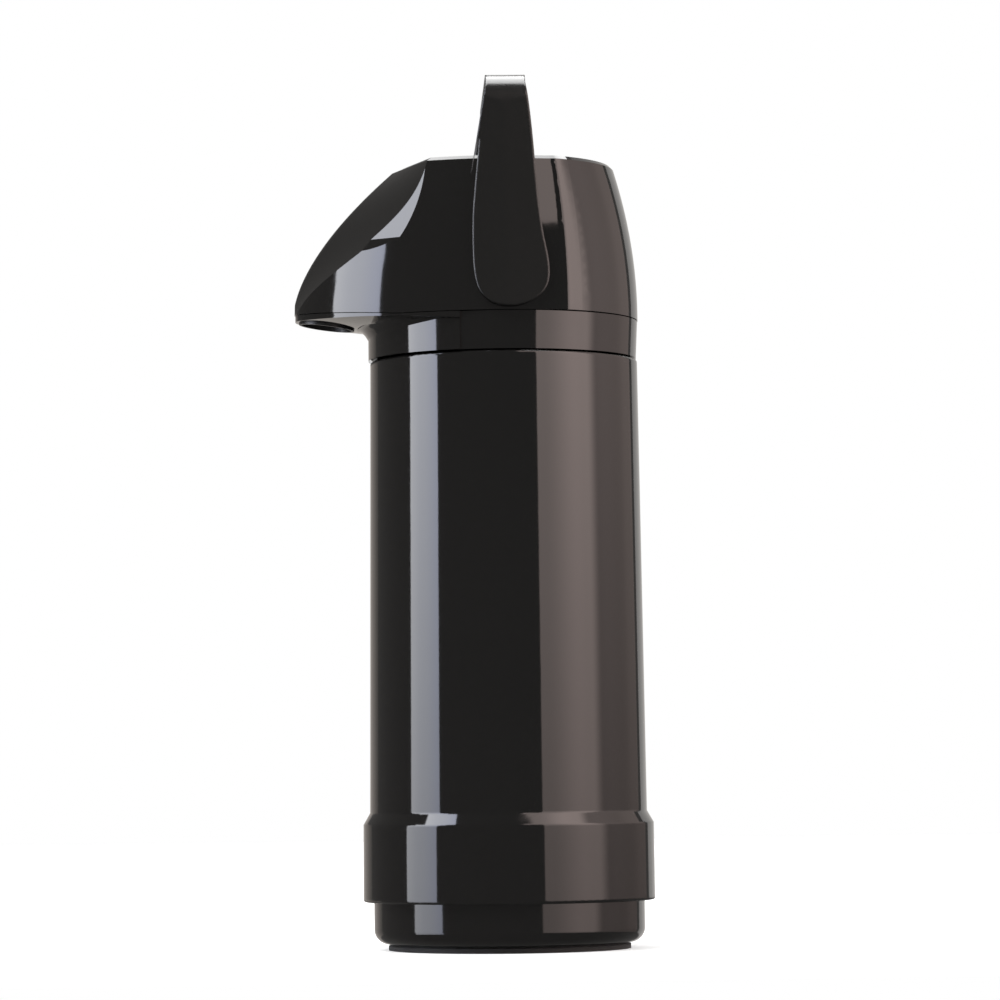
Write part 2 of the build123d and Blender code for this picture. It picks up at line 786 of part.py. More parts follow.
with BuildPart() as collar:
    add(bill_base.part)
    with BuildSketch(Plane.XY.offset(collar_base)):
        Circle(collar_inner_low)
    extrude(amount=floor_base - collar_base, mode=Mode.SUBTRACT)
    with BuildSketch(Plane.XY.offset(floor_base)):
        Circle(collar_inner_top)
    extrude(amount=bill_seam - floor_base, mode=Mode.SUBTRACT)
    add(turned(collar_profile))
    add(bill_pocket.part, mode=Mode.SUBTRACT)
    for start in range(thread_starts):
        add(helical_rib(sleeve_radius + merge, lug_crest, thread_lug_height, lug_base,
                        start * 360 / thread_starts + thread_lug_lag, thread_lug_turn))
    with BuildSketch(Plane.XY.offset(floor_top)):
        with Locations(*[polar(pump_ear_circle, angle) for angle in pump_ear_angles]):
            Circle(pump_ear_radius)
    extrude(amount=pump_boss_height)
    with BuildSketch(Plane.XY.offset(floor_base + merge)):
        with Locations(*[polar(pump_ear_circle, angle) for angle in pump_ear_angles]):
            Circle(screw_radius)
    extrude(amount=floor_top - floor_base + pump_boss_height, mode=Mode.SUBTRACT)
    with BuildSketch(Plane.XY.offset(floor_base)):
        with Locations(*[polar(post_circle, angle) for angle in post_angles]):
            Circle(screw_radius + slip_gap)
        with PolarLocations(floor_air_circle, 3):
            Circle(floor_air_radius)
    extrude(amount=floor_top - floor_base, mode=Mode.SUBTRACT)
    with BuildSketch(Plane.XY.offset(collar_base)):
        with Locations((0, -nozzle_reach)):
            Circle(nozzle_rim_radius + slip_gap)
    extrude(amount=2 * (bill_seam - collar_base), mode=Mode.SUBTRACT)
collar.part.label = "collar"
export_step(collar.part, "parts/collar.step")
print("collar", collar.part.is_valid, len(collar.part.solids()))

# Hood: the upper cover with the bill, the hole for the button and the bosses of the handle
with BuildPart() as posts:
    with BuildSketch(Plane.XY.offset(floor_top + moving_gap)):
        with Locations(*[polar(post_circle, angle) for angle in post_angles]):
            Circle(post_radius)
    extrude(amount=post_top - floor_top)
    with BuildSketch(Plane.XY.offset(hood_base)):
        for angle in post_angles:
            with Locations(Location((*polar(post_circle + post_radius, angle), 0), angle)):
                Rectangle(2 * post_radius, post_web_thickness)
    extrude(amount=post_top - hood_base)
    add(hood_form(head_wall / 2, hood_base - head_wall, hood_top - hood_roof),
        mode=Mode.INTERSECT)
with BuildPart() as hood_hollow:
    add(hood_form(head_wall, hood_base - head_wall, hood_top - hood_roof))
    for side in (1, -1):
        add(facet_block(side, head_wall), mode=Mode.SUBTRACT)
guide_seat = guide_radius + slip_gap
guide_rim = guide_radius + guide_flange_width
with BuildPart() as hood:
    add(hood_form(0, hood_base, hood_top - hood_edge_bevel))
    add(hood_crown(hood_top - hood_edge_bevel))
    for side in (1, -1):
        add(facet_block(side, 0), mode=Mode.SUBTRACT)
    for side in (1, -1):
        with BuildSketch(Plane.YZ.offset(side * pivot_boss_face)):
            with Locations((pivot_rearward, pivot_height)):
                Circle(pivot_boss_radius)
        extrude(amount=-side * (pivot_boss_face - hood_radius(pivot_height) + head_wall))
    add(hood_hollow.part, mode=Mode.SUBTRACT)
    for side in (1, -1):
        with BuildSketch(Plane.YZ.offset(side * pivot_inner_face)):
            with Locations((pivot_rearward, pivot_height)):
                Circle(pivot_inner_boss_radius)
        extrude(amount=side * (hood_radius(pivot_height) - pivot_inner_face - merge))
    add(posts.part)
    with BuildSketch(Plane.XY.offset(floor_top)):
        with Locations(*[polar(post_circle, angle) for angle in post_angles]):
            Circle(screw_radius + pin_play)
    extrude(amount=screw_bite, mode=Mode.SUBTRACT)
    for side in (1, -1):
        with BuildSketch(Plane.YZ.offset(side * pivot_boss_face)):
            with Locations((pivot_rearward, pivot_height)):
                Circle(pin_radius + pin_play)
        extrude(amount=-side * (pivot_boss_face - pivot_inner_face), mode=Mode.SUBTRACT)
    with BuildSketch(Plane.XY.offset(hood_top)):
        Circle(guide_seat)
    extrude(amount=-2 * hood_roof, mode=Mode.SUBTRACT)
    with BuildSketch(Plane.XY.offset(hood_top)):
        Circle(guide_rim + slip_gap)
    extrude(amount=-guide_flange_thickness, mode=Mode.SUBTRACT)
    add(side_prism([(-bill_seam_ramp, hood_base - 2 * head_wall),
                    (-bill_seam_ramp, hood_base),
                    (-bill_tip, bill_seam + head_seam),
                    (-2 * bill_tip, bill_seam + head_seam),
                    (-2 * bill_tip, hood_base - 2 * head_wall)]), mode=Mode.SUBTRACT)
hood.part.label = "hood"
export_step(hood.part, "parts/hood.step")
print("hood", hood.part.is_valid, len(hood.part.solids()))


# Nozzle: a round well under the bill with the pouring tube in its middle
with BuildPart() as nozzle_rim:
    with BuildSketch(Plane.XY.offset(collar_base)):
        with Locations((0, -nozzle_reach)):
            Circle(nozzle_rim_radius)
            Circle(nozzle_well_radius, mode=Mode.SUBTRACT)
    extrude(amount=bill_seam - collar_base)
    with BuildSketch(bill_line):
        with Locations((0, nozzle_rim_drop)):
            Rectangle(2 * head_radius, 2 * head_radius, align=(Align.CENTER, Align.MAX))
    extrude(amount=2 * bill_tip, both=True, mode=Mode.INTERSECT)
with BuildPart() as nozzle:
    with BuildSketch(Plane.XY.offset(bill_seam)):
        with Locations((0, -nozzle_reach)):
            Circle(nozzle_flange_radius)
    extrude(amount=nozzle_flange_thickness)
    add(hood_form(head_wall + moving_gap, hood_base - head_wall, hood_top - hood_roof),
        mode=Mode.INTERSECT)
    add(nozzle_rim.part)
    with BuildSketch(Plane.XY.offset(pour_base)):
        with Locations((0, -nozzle_reach)):
            Circle(pour_radius)
    extrude(amount=pour_top - pour_base)
    with BuildSketch(Plane.XZ.offset(nozzle_reach)):
        with Locations((0, outlet_height)):
            Circle(socket_radius)
    extrude(amount=-nozzle_socket_reach)
    with BuildSketch(Plane.XY.offset(pour_base)):
        with Locations((0, -nozzle_reach)):
            Circle(pour_bore)
    extrude(amount=pour_top - pour_cap - pour_base, mode=Mode.SUBTRACT)
    with BuildSketch(Plane.XZ.offset(nozzle_reach - nozzle_flange_radius)):
        with Locations((0, outlet_height)):
            Circle(outlet_radius + slip_gap)
    extrude(amount=nozzle_flange_radius - nozzle_socket_reach + socket_depth, mode=Mode.SUBTRACT)
    with BuildSketch(Plane.XZ.offset(nozzle_reach - nozzle_socket_reach)):
        with Locations((0, outlet_height)):
            Circle(outlet_bore)
    extrude(amount=nozzle_socket_reach, mode=Mode.SUBTRACT)
nozzle.part.label = "nozzle"
export_step(nozzle.part, "parts/nozzle.step")

# Outlet tube from the valve cage to the nozzle
outlet_rear = cage_socket_reach - socket_depth + slip_gap
outlet_front = nozzle_reach - nozzle_socket_reach + socket_depth - slip_gap
with BuildPart() as outlet_tube:
    with BuildSketch(Plane.XZ.offset(outlet_rear)):
        with Locations((0, outlet_height)):
            Circle(outlet_radius)
            Circle(outlet_bore, mode=Mode.SUBTRACT)
    extrude(amount=outlet_front - outlet_rear)
outlet_tube.part.label = "outlet_tube"
export_step(outlet_tube.part, "parts/outlet_tube.step")

# Valve cage: a foot over the hub, the seat of the ball, its chamber and the socket of the tube
with BuildPart() as valve_cage:
    with BuildSketch(Plane.XY.offset(floor_top)):
        Circle(cage_base_radius)
    extrude(amount=seat_top - floor_top)
    with BuildSketch(Plane.XY.offset(seat_top)):
        Circle(cage_radius)
    extrude(amount=cage_top - seat_top)
    with BuildSketch(Plane.XZ):
        with Locations((0, outlet_height)):
            Circle(socket_radius)
    extrude(amount=cage_socket_reach)
    with BuildSketch(Plane.XY.offset(floor_top)):
        Circle(cage_base_radius - cage_skirt_wall)
    extrude(amount=cage_cavity_top - floor_top, mode=Mode.SUBTRACT)
    with BuildSketch(Plane.XY.offset(cage_cavity_top)):
        Circle(seat_bore)
    extrude(amount=seat_thickness, mode=Mode.SUBTRACT)
    with BuildSketch(Plane.XY.offset(seat_top)):
        Circle(chamber_radius)
    extrude(amount=cage_top - cage_cap - seat_top, mode=Mode.SUBTRACT)
    with BuildSketch(Plane.XZ):
        with Locations((0, outlet_height)):
            Circle(outlet_bore)
    extrude(amount=cage_socket_reach, mode=Mode.SUBTRACT)
    with BuildSketch(Plane.XZ.offset(cage_socket_reach)):
        with Locations((0, outlet_height)):
            Circle(outlet_radius + slip_gap)
    extrude(amount=-socket_depth, mode=Mode.SUBTRACT)
valve_cage.part.label = "valve_cage"
export_step(valve_cage.part, "parts/valve_cage.step")

# Loose ball that closes the way out when the flask tips over
with BuildPart() as valve_ball:
    with Locations((0, 0, ball_height)):
        Sphere(ball_radius)
valve_ball.part.label = "valve_ball"
export_step(valve_ball.part, "parts/valve_ball.step")

# Pump base: floor plate on a skirt, with a notch for the outlet tube and three ears
pump_skirt_top = pump_floor_top - pump_floor_thickness
with BuildPart() as pump_base:
    with BuildSketch(Plane.XY.offset(floor_top)):
        Circle(pump_radius)
        Circle(pump_radius - pump_wall, mode=Mode.SUBTRACT)
    extrude(amount=pump_skirt_top - floor_top)
    with BuildSketch(Plane.XY.offset(pump_skirt_top)):
        Circle(pump_radius)
        with PolarLocations(pump_air_circle, 4):
            Circle(pump_air_radius, mode=Mode.SUBTRACT)
    extrude(amount=pump_floor_thickness)
    with BuildSketch(Plane.XY.offset(pump_ear_base)):
        with Locations(*[polar(pump_ear_circle, angle) for angle in pump_ear_angles]):
            Circle(pump_ear_radius)
    extrude(amount=pump_ear_thickness)
    with BuildSketch(Plane.XY.offset(floor_top)):
        with Locations(*[polar(pump_ear_circle, angle) for angle in pump_ear_angles]):
            Circle(pump_ear_radius + slip_gap)
    extrude(amount=pump_boss_height, mode=Mode.SUBTRACT)
    with BuildSketch(Plane.XY.offset(pump_ear_base)):
        with Locations(*[polar(pump_ear_circle, angle) for angle in pump_ear_angles]):
            Circle(screw_radius + slip_gap)
    extrude(amount=pump_ear_thickness, mode=Mode.SUBTRACT)
    with BuildSketch(Plane.XZ.offset(pump_radius - pump_wall - merge)):
        with Locations((0, floor_top)):
            Rectangle(2 * (outlet_radius + moving_gap), 2 * (pump_skirt_top - floor_top))
    extrude(amount=pump_wall + 2 * merge, mode=Mode.SUBTRACT)
pump_base.part.label = "pump_base"
export_step(pump_base.part, "parts/pump_base.step")


def screws(places, head_base, shank_length, head_up):
    """Slotted screws at places of the plan: the shank runs from the head's flat side."""
    turn = 1 if head_up else -1
    with BuildPart() as group:
        with BuildSketch(Plane.XY.offset(head_base)):
            with Locations(*places):
                Circle(screw_head_radius)
        extrude(amount=turn * screw_head_height)
        with BuildSketch(Plane.XY.offset(head_base)):
            with Locations(*places):
                Circle(screw_radius - pin_play)
        extrude(amount=-turn * shank_length)
        with BuildSketch(Plane.XY.offset(head_base + turn * screw_head_height)):
            with Locations(*places):
                Rectangle(2 * screw_head_radius, screw_slot_width)
        extrude(amount=-turn * screw_slot_depth, mode=Mode.SUBTRACT)
    return group


# Screws of the pump base, in the bosses of the collar's floor
pump_screws = screws([polar(pump_ear_circle, angle) for angle in pump_ear_angles],
                     pump_ear_base + pump_ear_thickness,
                     pump_ear_thickness + pump_boss_height + collar_floor_thickness / 2, True)
pump_screws.part.label = "pump_screws"
export_step(pump_screws.part, "parts/pump_screws.step")

# Screws from below through the collar's floor into the posts of the hood
hood_screws = screws([polar(post_circle, angle) for angle in post_angles],
                     floor_base, collar_floor_thickness + screw_bite - moving_gap, False)
hood_screws.part.label = "hood_screws"
export_step(hood_screws.part, "parts/hood_screws.step")

# Bellows: a zigzag wall between two cuffs
fold_height = (bellows_height - 2 * bellows_cuff) / bellows_folds
fold_outer = [(bellows_valley_radius, pump_floor_top + bellows_cuff)]
for fold in range(bellows_folds):
    fold_base = pump_floor_top + bellows_cuff + fold * fold_height
    fold_outer.append((bellows_peak_radius, fold_base + fold_height / 2))
    fold_outer.append((bellows_valley_radius, fold_base + fold_height))
fold_inner = [(radius - bellows_wall, height) for radius, height in reversed(fold_outer)]
with BuildPart() as bellows:
    add(turned(fold_outer + [(bellows_valley_radius, bellows_top),
                             (bellows_valley_radius - bellows_wall, bellows_top)]
               + fold_inner + [(bellows_valley_radius - bellows_wall, pump_floor_top),
                               (bellows_valley_radius, pump_floor_top)]))
bellows.part.label = "bellows"
export_step(bellows.part, "parts/bellows.step")

# Return spring: one unbroken coil inside the bellows
spring_base = pump_floor_top + spring_wire_radius + slip_gap
spring_rise = bellows_height - 2 * (spring_wire_radius + slip_gap)
coil = Helix(pitch=spring_rise / spring_turns, height=spring_rise, radius=spring_radius,
             center=(0, 0, spring_base))
with BuildPart() as return_spring:
    with BuildSketch(Plane(origin=coil @ 0, z_dir=coil % 0)):
        Circle(spring_wire_radius)
    sweep(path=coil, is_frenet=True)
return_spring.part.label = "return_spring"
export_step(return_spring.part, "parts/return_spring.step")
print("spring gap between turns", round(spring_rise / spring_turns - 2 * spring_wire_radius, 2))

# Button guide: a sleeve in the hood with the trim ring that shows round the button
with BuildPart() as button_guide:
    add(turned([(guide_bore, guide_base), (guide_radius, guide_base),
                (guide_radius, hood_top - guide_flange_thickness),
                (guide_rim, hood_top - guide_flange_thickness), (guide_rim, hood_top),
                (guide_bore, hood_top)]))
    fillet(rims(button_guide, guide_bore, hood_top), guide_flange_thickness / 2)
button_guide.part.label = "button_guide"
export_step(button_guide.part, "parts/button_guide.step")

# Push button: a crowned cap with a skirt, a flange that holds it in and three posts
crown_bend = (button_radius ** 2 + button_crown ** 2) / (2 * button_crown)
with BuildPart() as push_button:
    with BuildSketch(Plane.XZ):
        with BuildLine():
            Line((0, button_flange_base), (button_flange_radius, button_flange_base))
            Polyline((button_flange_radius, button_flange_base),
                     (button_flange_radius, button_flange_top),
                     (button_radius, button_flange_top), (button_radius, button_edge_top))
            ThreePointArc((button_radius, button_edge_top),
                          (button_radius / 2, button_top - crown_bend
                           + math.sqrt(crown_bend ** 2 - button_radius ** 2 / 4)),
                          (0, button_top))
            Line((0, button_top), (0, button_flange_base))
        make_face()
    revolve(axis=Axis.Z)
    fillet(rims(push_button, button_radius, button_edge_top), button_edge_round)
    with BuildSketch(Plane.XY.offset(button_flange_base)):
        Circle(button_radius - button_wall)
    extrude(amount=button_edge_top - button_wall - button_flange_base, mode=Mode.SUBTRACT)
    with BuildSketch(Plane.XY.offset(bellows_plate_top)):
        with PolarLocations(button_post_circle, 3):
            Circle(button_post_radius)
    extrude(amount=button_edge_top - button_wall - bellows_plate_top)
push_button.part.label = "push_button"
export_step(push_button.part, "parts/push_button.step")

# Top plate of the bellows, with its air holes
with BuildPart() as bellows_plate:
    with BuildSketch(Plane.XY.offset(bellows_plate_base)):
        Circle(bellows_plate_radius)
        with PolarLocations(plate_vent_circle, 5):
            Circle(plate_vent_radius, mode=Mode.SUBTRACT)
        Circle(valve_stem_radius + slip_gap, mode=Mode.SUBTRACT)
    extrude(amount=bellows_plate_thickness)
bellows_plate.part.label = "bellows_plate"
export_step(bellows_plate.part, "parts/bellows_plate.step")

# Intake valve: a rubber flap under the air holes, held by its stem and button
with BuildPart() as intake_valve:
    add(turned([(0, bellows_plate_base - valve_flap_thickness),
                (valve_flap_radius, bellows_plate_base - valve_flap_thickness),
                (valve_flap_radius, bellows_plate_base),
                (valve_stem_radius, bellows_plate_base),
                (valve_stem_radius, bellows_plate_top),
                (2 * valve_stem_radius, bellows_plate_top),
                (valve_stem_radius, bellows_plate_top + valve_stem_radius),
                (0, bellows_plate_top + valve_stem_radius)]))
intake_valve.part.label = "intake_valve"
export_step(intake_valve.part, "parts/intake_valve.step")

# Pivot pins, from inside the hood out into the arms of the handle
pin_end = arm_outer - handle_skin
with BuildPart() as pivot_pins:
    for side in (1, -1):
        with BuildSketch(Plane.YZ.offset(side * (pivot_inner_face - pin_head_thickness))):
            with Locations((pivot_rearward, pivot_height)):
                Circle(pin_head_radius)
        extrude(amount=side * pin_head_thickness)
        with BuildSketch(Plane.YZ.offset(side * pivot_inner_face)):
            with Locations((pivot_rearward, pivot_height)):
                Circle(pin_radius)
        extrude(amount=side * (pin_end - moving_gap - pivot_inner_face))
pivot_pins.part.label = "pivot_pins"
export_step(pivot_pins.part, "parts/pivot_pins.step")

# Thin washers between the hood's bosses and the arms
with BuildPart() as pivot_washers:
    for side in (1, -1):
        with BuildSketch(Plane.YZ.offset(side * pivot_boss_face)):
            with Locations((pivot_rearward, pivot_height)):
                Circle(washer_radius)
                Circle(pin_radius + pin_play, mode=Mode.SUBTRACT)
        extrude(amount=side * washer_thickness)
pivot_washers.part.label = "pivot_washers"
export_step(pivot_washers.part, "parts/pivot_washers.step")

# Handle: the outline of its arms from the side, cut to a bail seen from the front
handle_reach = 2 * handle_rear_edge[-2][0]
bar_rear = (handle_rear_edge[0][0], handle_top + merge)
bar_front = (handle_front_edge[0][0], handle_top + merge)
handle_base = handle_foot[1] - merge
with BuildPart() as handle:
    with BuildSketch(Plane.YZ):
        with BuildLine():
            Polyline(handle_front_edge[0], bar_front, bar_rear, handle_rear_edge[0])
            Spline(*handle_rear_edge, handle_foot, tangents=[(0.17, -1), (-1, 0)])
            Spline(handle_foot, *reversed(handle_front_edge), tangents=[(-1, 0), (0.17, 1)])
        make_face()
    extrude(amount=arm_outer, both=True)
    with BuildSketch(Plane.XZ) as bail:
        with Locations((0, (handle_top + handle_base) / 2)):
            Rectangle(2 * arm_outer, handle_top - handle_base)
        fillet(bail.vertices().group_by(Axis.Y)[-1], handle_corner)
        with Locations((0, (handle_top - handle_bar_thickness) / 2)):
            RectangleRounded(2 * arm_inner, handle_top - handle_bar_thickness,
                             handle_inner_corner, mode=Mode.SUBTRACT)
    extrude(amount=handle_reach, both=True, mode=Mode.INTERSECT)
    with BuildSketch(Plane.XY.offset(handle_base)):
        with BuildLine():
            Polyline((arm_outer, 0), (arm_outer - 2 * handle_crown, handle_reach),
                     (2 * handle_crown - arm_outer, handle_reach), (-arm_outer, 0),
                     (2 * handle_crown - arm_outer, -handle_reach),
                     (arm_outer - 2 * handle_crown, -handle_reach), close=True)
        make_face()
    extrude(amount=handle_top, mode=Mode.INTERSECT)
    for side in (1, -1):
        with BuildSketch(Plane.YZ.offset(side * arm_inner)):
            with Locations((pivot_rearward, pivot_height)):
                Circle(pin_radius + pin_play)
        extrude(amount=side * (pin_end - arm_inner), mode=Mode.SUBTRACT)
handle.part.label = "handle"
export_step(handle.part, "parts/handle.step")
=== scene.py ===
# %% [markdown]
# # A black airpot, dressed for its photograph
#
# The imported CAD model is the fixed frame. This notebook gives every node a material, sets the
# camera where the photographer stood and puts soft boxes where the highlights ask for them.

# %% Load the frame
import json
import math

import bpy
from mathutils import Matrix, Vector

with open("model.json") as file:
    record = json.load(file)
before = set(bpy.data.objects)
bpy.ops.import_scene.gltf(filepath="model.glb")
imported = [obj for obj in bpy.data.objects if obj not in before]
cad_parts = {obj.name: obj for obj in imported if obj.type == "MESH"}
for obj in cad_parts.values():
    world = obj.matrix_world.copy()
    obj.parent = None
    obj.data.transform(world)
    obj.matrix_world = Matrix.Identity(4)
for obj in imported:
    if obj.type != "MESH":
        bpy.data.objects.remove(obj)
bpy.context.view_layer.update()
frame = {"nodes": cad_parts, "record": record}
nodes = frame["nodes"]

# %% [markdown]
# ## Materials
#
# Each material is a small node tree on Object coordinates, which are metres in the frame. The
# helpers below make the parts that the trees share: a noise, a ramp, a mix of two colours and a
# bump, which can also make sharp edges look rounded.

# %% Node helpers
def new_material(name):
    """A material with an empty tree, its Principled shader and its object coordinates."""
    material = bpy.data.materials.new(name)
    material.use_nodes = True
    tree = material.node_tree
    shader = tree.nodes["Principled BSDF"]
    place = tree.nodes.new("ShaderNodeTexCoord").outputs["Object"]
    return material, tree, shader, place


def noise(tree, place, scale, detail=4.0, roughness=0.5):
    """Fractal noise with a scale in cycles per metre."""
    node = tree.nodes.new("ShaderNodeTexNoise")
    node.inputs["Scale"].default_value = scale
    node.inputs["Detail"].default_value = detail
    node.inputs["Roughness"].default_value = roughness
    tree.links.new(place, node.inputs["Vector"])
    return node.outputs["Fac"]


def ramp(tree, value, low, high):
    """Turns a value from 0 to 1 into one between low and high."""
    node = tree.nodes.new("ShaderNodeMapRange")
    node.inputs["To Min"].default_value = low
    node.inputs["To Max"].default_value = high
    tree.links.new(value, node.inputs["Value"])
    return node.outputs["Result"]


def colours(tree, value, dark, light):
    """Turns a value from 0 to 1 into a colour between two."""
    node = tree.nodes.new("ShaderNodeMix")
    node.data_type = "RGBA"
    node.inputs["A"].default_value = (*dark, 1)
    node.inputs["B"].default_value = (*light, 1)
    tree.links.new(value, node.inputs["Factor"])
    return node.outputs["Result"]


def bump(tree, shader, height, strength, distance, edge=0.0):
    """Adds a bump of that height in metres, on edges that look rounded by a radius."""
    node = tree.nodes.new("ShaderNodeBump")
    if edge:
        rounded = tree.nodes.new("ShaderNodeBevel")
        rounded.samples = 8
        rounded.inputs["Radius"].default_value = edge
        tree.links.new(rounded.outputs["Normal"], node.inputs["Normal"])
    node.inputs["Strength"].default_value = strength
    node.inputs["Distance"].default_value = distance
    tree.links.new(height, node.inputs["Height"])
    tree.links.new(node.outputs["Normal"], shader.inputs["Normal"])


print("helpers ready")

# %% Moulded plastics
def gloss_plastic(name, dark, light, rough, edge=0.0):
    """Polished moulded plastic: faint flow marks in the colour and fine swirls in the gloss."""
    material, tree, shader, place = new_material(name)
    flow = noise(tree, place, 14, 3)
    swirl = noise(tree, place, 420, 5, 0.6)
    tree.links.new(colours(tree, flow, dark, light), shader.inputs["Base Color"])
    tree.links.new(ramp(tree, swirl, *rough), shader.inputs["Roughness"])
    bump(tree, shader, noise(tree, place, 55, 2), 0.05, 0.0004, edge)
    shader.inputs["IOR"].default_value = 1.57
    return material


def satin_plastic(name, dark, light, rough, grain=900):
    """Fine eroded grain, as an unpolished mould leaves it."""
    material, tree, shader, place = new_material(name)
    fine = noise(tree, place, grain, 3, 0.6)
    tree.links.new(colours(tree, noise(tree, place, 30), dark, light), shader.inputs["Base Color"])
    tree.links.new(ramp(tree, fine, *rough), shader.inputs["Roughness"])
    bump(tree, shader, fine, 0.35, 0.0003)
    return material


def rubber(name, dark, light, rough=(0.6, 0.85), sheen=0.2):
    """Matte rubber with a soft bloom."""
    material, tree, shader, place = new_material(name)
    fine = noise(tree, place, 1400, 4, 0.7)
    tree.links.new(colours(tree, noise(tree, place, 60), dark, light), shader.inputs["Base Color"])
    tree.links.new(ramp(tree, fine, *rough), shader.inputs["Roughness"])
    shader.inputs["Sheen Weight"].default_value = sheen
    bump(tree, shader, fine, 0.3, 0.0003)
    return material


def metal(name, dark, light, rough):
    """Drawn or plated metal with fine scratches."""
    material, tree, shader, place = new_material(name)
    fine = noise(tree, place, 700, 5, 0.7)
    tree.links.new(colours(tree, fine, dark, light), shader.inputs["Base Color"])
    tree.links.new(ramp(tree, fine, *rough), shader.inputs["Roughness"])
    shader.inputs["Metallic"].default_value = 1
    bump(tree, shader, fine, 0.15, 0.0001)
    return material


def glass(name, tint, silver):
    """Blown glass with slow waves. A silvered wall is metallic behind its polish."""
    material, tree, shader, place = new_material(name)
    wave = noise(tree, place, 40, 2)
    dark = tuple(channel * 0.9 for channel in tint)
    tree.links.new(colours(tree, wave, dark, tint), shader.inputs["Base Color"])
    tree.links.new(ramp(tree, wave, 0.02, 0.09), shader.inputs["Roughness"])
    shader.inputs["Metallic"].default_value = silver
    shader.inputs["Coat Weight"].default_value = 1 - silver / 2
    bump(tree, shader, wave, 0.2, 0.0006)
    return material


black = ((0.0075, 0.0072, 0.0070), (0.0095, 0.0090, 0.0088))
casing_edge, handle_edge = 0.0012, 0.0015
looks = {
    "casing_black": gloss_plastic("casing_black", *black, (0.035, 0.075), casing_edge),
    "head_black": gloss_plastic("head_black", *black, (0.04, 0.085)),
    "cap_black": gloss_plastic("cap_black", *black, (0.05, 0.09)),
    "handle_black": gloss_plastic("handle_black", (0.010, 0.0095, 0.009),
                                  (0.0125, 0.012, 0.0115), (0.16, 0.24), handle_edge),
    "button_black": gloss_plastic("button_black", *black, (0.05, 0.1)),
    "trim_black": satin_plastic("trim_black", (0.014, 0.013, 0.013), (0.02, 0.019, 0.019),
                                (0.3, 0.45)),
    "foot_rubber": rubber("foot_rubber", (0.012, 0.012, 0.012), (0.022, 0.021, 0.021)),
    "seal_rubber": rubber("seal_rubber", (0.62, 0.61, 0.56), (0.74, 0.73, 0.69), (0.35, 0.5)),
    "cushion_rubber": rubber("cushion_rubber", (0.03, 0.03, 0.03), (0.06, 0.06, 0.06)),
    "silvered_glass": glass("silvered_glass", (0.82, 0.84, 0.86), 1.0),
    "clear_glass": glass("clear_glass", (0.72, 0.76, 0.78), 0.6),
    "fibre_pad": rubber("fibre_pad", (0.5, 0.46, 0.36), (0.66, 0.62, 0.52), (0.85, 1), 0.6),
    "inner_plastic": satin_plastic("inner_plastic", (0.68, 0.68, 0.65), (0.76, 0.76, 0.74),
                                   (0.35, 0.5)),
    "pump_plastic": satin_plastic("pump_plastic", (0.035, 0.035, 0.037), (0.055, 0.055, 0.058),
                                  (0.35, 0.55)),
    "bellows_rubber": rubber("bellows_rubber", (0.48, 0.47, 0.43), (0.58, 0.57, 0.53)),
    "steel": metal("steel", (0.5, 0.5, 0.51), (0.68, 0.68, 0.68), (0.22, 0.4)),
    "spring_steel": metal("spring_steel", (0.46, 0.46, 0.47), (0.62, 0.62, 0.62), (0.2, 0.35)),
}
for part in frame["record"]["subparts"]:
    mesh = nodes[part["node"]].data
    mesh.materials.clear()
    mesh.materials.append(looks[part["material_slot"]])
print(len(looks), "materials on", len(nodes), "nodes")

# %% [markdown]
# ## Floor, backdrop and light
#
# The photograph is a cut-out on white. The camera, gloss and glass therefore see a white world,
# and the camera sees a white table, while a plain dome of light and one soft key lamp light the
# object. As in the photographer's studio, a dark curtain hangs all round except behind the
# flask, and two bright screens stand in it: a tall narrow strip on the spout's side and a broad
# dim screen on the other. Two dim panels behind the flask light its rims, a dark flap keeps the
# left one off the head, and a small light overhead draws the line on the hood and the handle.
# All of these show only in the gloss, and the table doesn't show there.

# %% Rays that see the backdrop
def seen_rays(tree):
    """1 for rays from the camera, from gloss and through glass, and 0 for the others."""
    path = tree.nodes.new("ShaderNodeLightPath")
    total = path.outputs["Is Camera Ray"]
    for kind in ("Is Glossy Ray", "Is Transmission Ray"):
        add = tree.nodes.new("ShaderNodeMath")
        add.operation = "MAXIMUM"
        tree.links.new(total, add.inputs[0])
        tree.links.new(path.outputs[kind], add.inputs[1])
        total = add.outputs[0]
    return total


world = bpy.data.worlds.new("studio")
bpy.context.scene.world = world
world.use_nodes = True
tree = world.node_tree
background = tree.nodes["Background"]
background.inputs["Color"].default_value = (1, 1, 1, 1)
tree.links.new(ramp(tree, seen_rays(tree), 0.55, 1.0), background.inputs["Strength"])
print("world set")

# %% Table
studio_side, table_front = 3.0, 0.3


def quad_sheet(name, corners):
    """A flat sheet from its four corners, which isn't part of the object."""
    mesh = bpy.data.meshes.new(name)
    mesh.from_pydata(corners, [], [(0, 1, 2, 3)])
    made = bpy.data.objects.new(name, mesh)
    bpy.context.scene.collection.objects.link(made)
    return made


floor_material, tree, shader, place = new_material("floor")
tree.links.new(colours(tree, noise(tree, place, 3), (0.88, 0.88, 0.88), (0.9, 0.9, 0.9)),
               shader.inputs["Base Color"])
shader.inputs["Roughness"].default_value = 0.9
shader.inputs["Emission Color"].default_value = (1, 1, 1, 1)
tree.links.new(ramp(tree, seen_rays(tree), 0.0, 0.55), shader.inputs["Emission Strength"])
table_side = 2.5
floor = quad_sheet("floor", [(-studio_side, -table_side, 0), (table_front, -table_side, 0),
                             (table_front, table_side, 0), (-studio_side, table_side, 0)])
floor.data.materials.append(floor_material)
floor.visible_glossy = False
print("table laid")

